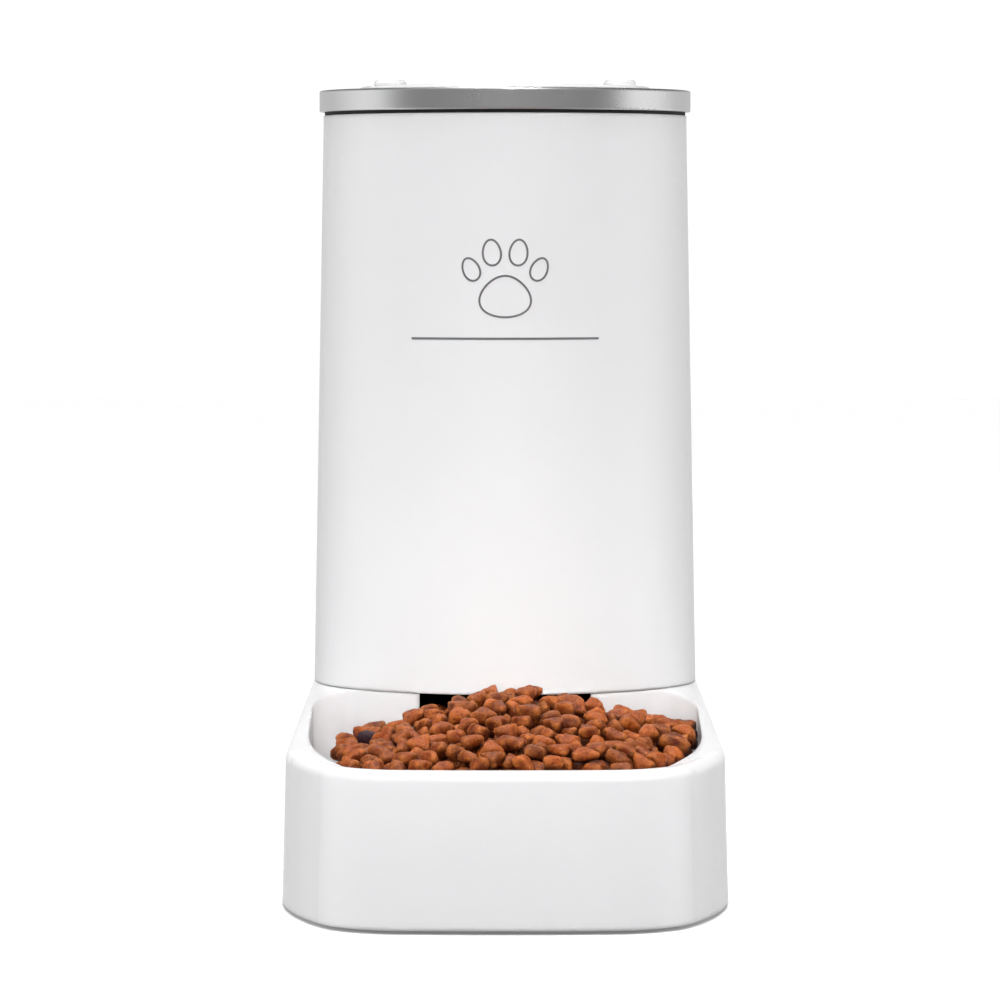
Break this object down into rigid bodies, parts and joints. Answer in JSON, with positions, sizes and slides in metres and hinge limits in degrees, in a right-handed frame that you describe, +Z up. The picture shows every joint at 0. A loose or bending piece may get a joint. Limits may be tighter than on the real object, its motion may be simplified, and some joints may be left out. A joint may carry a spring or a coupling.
{
  "type": "pet_feeder",
  "caption": "Gravity pet feeder: tall tapering white hopper with a silver lid on a rounded base whose front bowl holds a heap of dry kibble.",
  "frame": {"origin": "bottom centre of the bounding box, on the plane that the feet stand on", "axes": "+Z up along the hopper, -Y out of the front of the bowl, +X to the right hand of a viewer who stands in front and looks along +Y"},
  "size_m": [0.171, 0.285, 0.3169],
  "materials": {
    "white_plastic": "gloss",
    "grey_plastic": "matte",
    "black_plastic": "matte",
    "foot_rubber": "matte",
    "seal_rubber": "matte",
    "screw_steel": "satin",
    "silver_paint": "satin",
    "kibble": "matte",
    "print_ink": "matte"
  },
  "bodies": {
    "base": {"base_shell": "white_plastic", "base_cover": "grey_plastic", "foot_front_left": "foot_rubber", "foot_front_right": "foot_rubber", "foot_rear_left": "foot_rubber", "foot_rear_right": "foot_rubber", "cover_screws": "screw_steel", "chute_screws": "screw_steel", "outlet_chute": "black_plastic", "seat_gasket": "seal_rubber", "kibble_heap": "kibble"},
    "hopper": {"hopper_tower": "white_plastic", "hopper_funnel": "black_plastic"},
    "lid": {"lid_shell": "silver_paint", "lid_panel": "white_plastic", "lid_plug": "grey_plastic", "lid_seal": "seal_rubber"}
  },
  "joints": [
    {"name": "hopper_lift", "type": "slide", "parent": "base", "child": "hopper", "axis": [0, 0, 1], "range_m": [0, 0.05]},
    {"name": "lid_lift", "type": "slide", "parent": "hopper", "child": "lid", "axis": [0, 0, 1], "range_m": [0, 0.05]}
  ]
}
